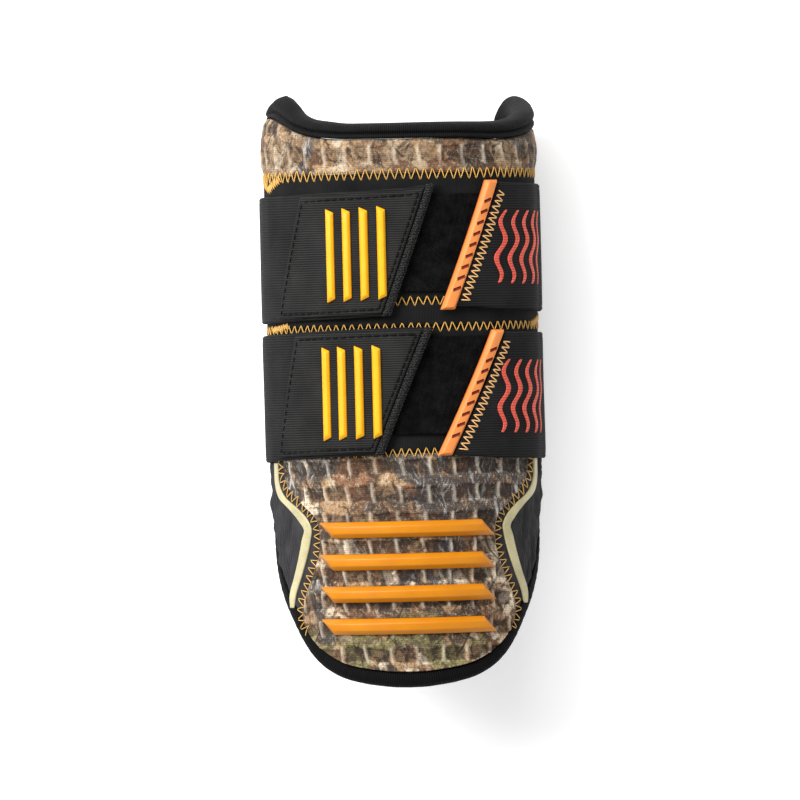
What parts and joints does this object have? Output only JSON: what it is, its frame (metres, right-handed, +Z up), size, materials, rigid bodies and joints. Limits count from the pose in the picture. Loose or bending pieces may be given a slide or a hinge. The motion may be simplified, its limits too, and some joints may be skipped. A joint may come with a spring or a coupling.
{
  "type": "baseball elbow guard",
  "caption": "Padded sleeve that wraps round a batter's elbow, with a stiff shell tongue, a rolled mouth rim and two elastic straps that close it behind the arm.",
  "frame": {"origin": "on the surface the guard lies on, under the middle of its box", "axes": "+Z up out of the guard's face as it lies on its straps, +Y from the shell tongue to the rolled mouth, +X to the right seen from above"},
  "size_m": [0.1162, 0.2442, 0.0977],
  "materials": {
    "foam_lining": "soft knit laminated to foam",
    "rim_knit": "ribbed stretch knit",
    "camouflage_knit": "printed fine ribbed knit",
    "black_knit": "smooth stretch knit",
    "side_knit": "wrinkled stretch knit",
    "pale_film": "thin heat-pressed film",
    "loop_pile": "fuzzy loop pile",
    "elastic": "woven ribbed elastic webbing",
    "grey_tape": "knitted binding tape",
    "tab_rubber": "moulded satin rubber",
    "orange_rubber": "moulded satin rubber"
  },
  "bodies": {
    "root": {"foam_pad": "foam_lining", "mouth_rim": "rim_knit", "edge_binding": "rim_knit", "upper_cover": "camouflage_knit", "upper_window": "black_knit", "flex_strip": "black_knit", "lower_window": "black_knit", "shell_cover": "camouflage_knit", "left_side_panel": "side_knit", "right_side_panel": "side_knit", "left_side_stripe": "pale_film", "right_side_stripe": "pale_film", "shell_rib_1": "orange_rubber", "shell_rib_2": "orange_rubber", "shell_rib_3": "orange_rubber", "shell_rib_4": "orange_rubber", "upper_loop_patch": "loop_pile", "upper_strap_band": "elastic", "upper_strap_panel": "elastic", "upper_strap_tape": "grey_tape", "upper_pull_tab": "tab_rubber", "upper_strap_rib_1": "orange_rubber", "upper_strap_rib_2": "orange_rubber", "upper_strap_rib_3": "orange_rubber", "upper_strap_rib_4": "orange_rubber", "lower_loop_patch": "loop_pile", "lower_strap_band": "elastic", "lower_strap_panel": "elastic", "lower_strap_tape": "grey_tape", "lower_pull_tab": "tab_rubber", "lower_strap_rib_1": "orange_rubber", "lower_strap_rib_2": "orange_rubber", "lower_strap_rib_3": "orange_rubber", "lower_strap_rib_4": "orange_rubber"}
  },
  "joints": []
}
